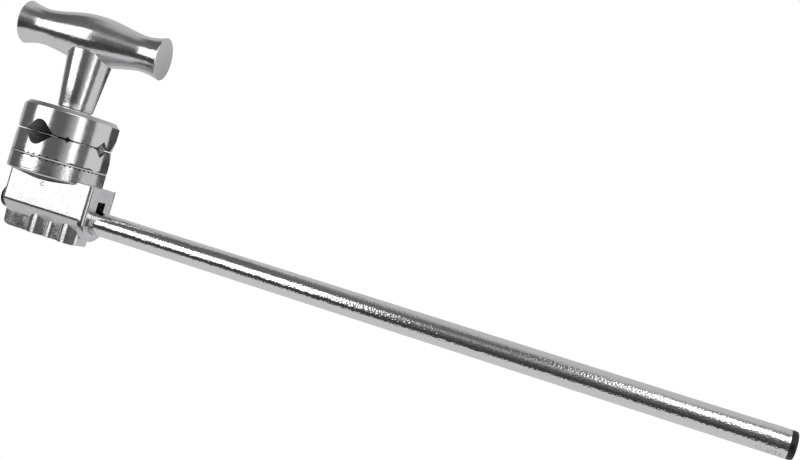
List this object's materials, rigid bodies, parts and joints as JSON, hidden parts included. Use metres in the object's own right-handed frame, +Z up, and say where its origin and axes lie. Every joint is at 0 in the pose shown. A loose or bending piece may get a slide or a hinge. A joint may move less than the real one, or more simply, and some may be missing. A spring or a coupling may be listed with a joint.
{
  "type": "grip head extension arm",
  "caption": "Chromed round arm with a black end cap, fixed in a clamping head with two grooved round jaws and a flared T-handle.",
  "frame": {"origin": "centre of the flat underside of the head, on the axis of the tightening stud", "axes": "+Z up the tightening stud to the T-handle, +X along the arm to its free tip, +Y completes the right-handed frame"},
  "size_m": [0.5428, 0.0636, 0.1543],
  "materials": {
    "cast_body": "cast and tumbled, then bright polished",
    "arm_chrome": "chrome plate over steel with a faint orange peel",
    "black_plastic": "moulded satin black",
    "stud_steel": "zinc plated steel",
    "pin_steel": "ground steel",
    "washer_steel": "bright steel sheet",
    "jaw_metal": "turned and polished",
    "spring_steel": "oiled spring wire",
    "handle_alloy": "cast and polished, with ground end faces"
  },
  "bodies": {
    "head_and_arm": {"body_casting": "cast_body", "arm_tube": "arm_chrome", "tip_plug": "black_plastic", "rear_plug": "black_plastic", "centre_stud": "stud_steel", "bolt_lock_pin": "pin_steel"},
    "lower_jaw_body": {"friction_washer": "washer_steel", "lower_jaw": "jaw_metal", "guide_pins": "pin_steel", "jaw_spring": "spring_steel"},
    "upper_jaw_body": {"upper_jaw": "jaw_metal"},
    "thrust_body": {"thrust_washer": "washer_steel"},
    "handle_body": {"t_handle": "handle_alloy", "handle_nut": "stud_steel"}
  },
  "joints": [
    {"name": "head_swivel", "type": "hinge", "parent": "head_and_arm", "child": "lower_jaw_body", "pos_m": [0, 0, 0.0511], "axis": [0, 0, 1], "continuous": true},
    {"name": "jaw_open", "type": "slide", "parent": "lower_jaw_body", "child": "upper_jaw_body", "axis": [0, 0, 1], "range_m": [0, 0.008], "deforming": ["jaw_spring"]},
    {"name": "handle_lift", "type": "slide", "parent": "head_and_arm", "child": "thrust_body", "axis": [0, 0, 1], "range_m": [0, 0.008]},
    {"name": "handle_turn", "type": "hinge", "parent": "thrust_body", "child": "handle_body", "pos_m": [0, 0, 0.0876], "axis": [0, 0, 1], "range_deg": [0, 1800]}
  ],
  "couplings": [
    {"joint": "jaw_open", "follows": "handle_turn", "m_per_rad": 0.00025266},
    {"joint": "handle_lift", "follows": "handle_turn", "m_per_rad": 0.00025266}
  ]
}
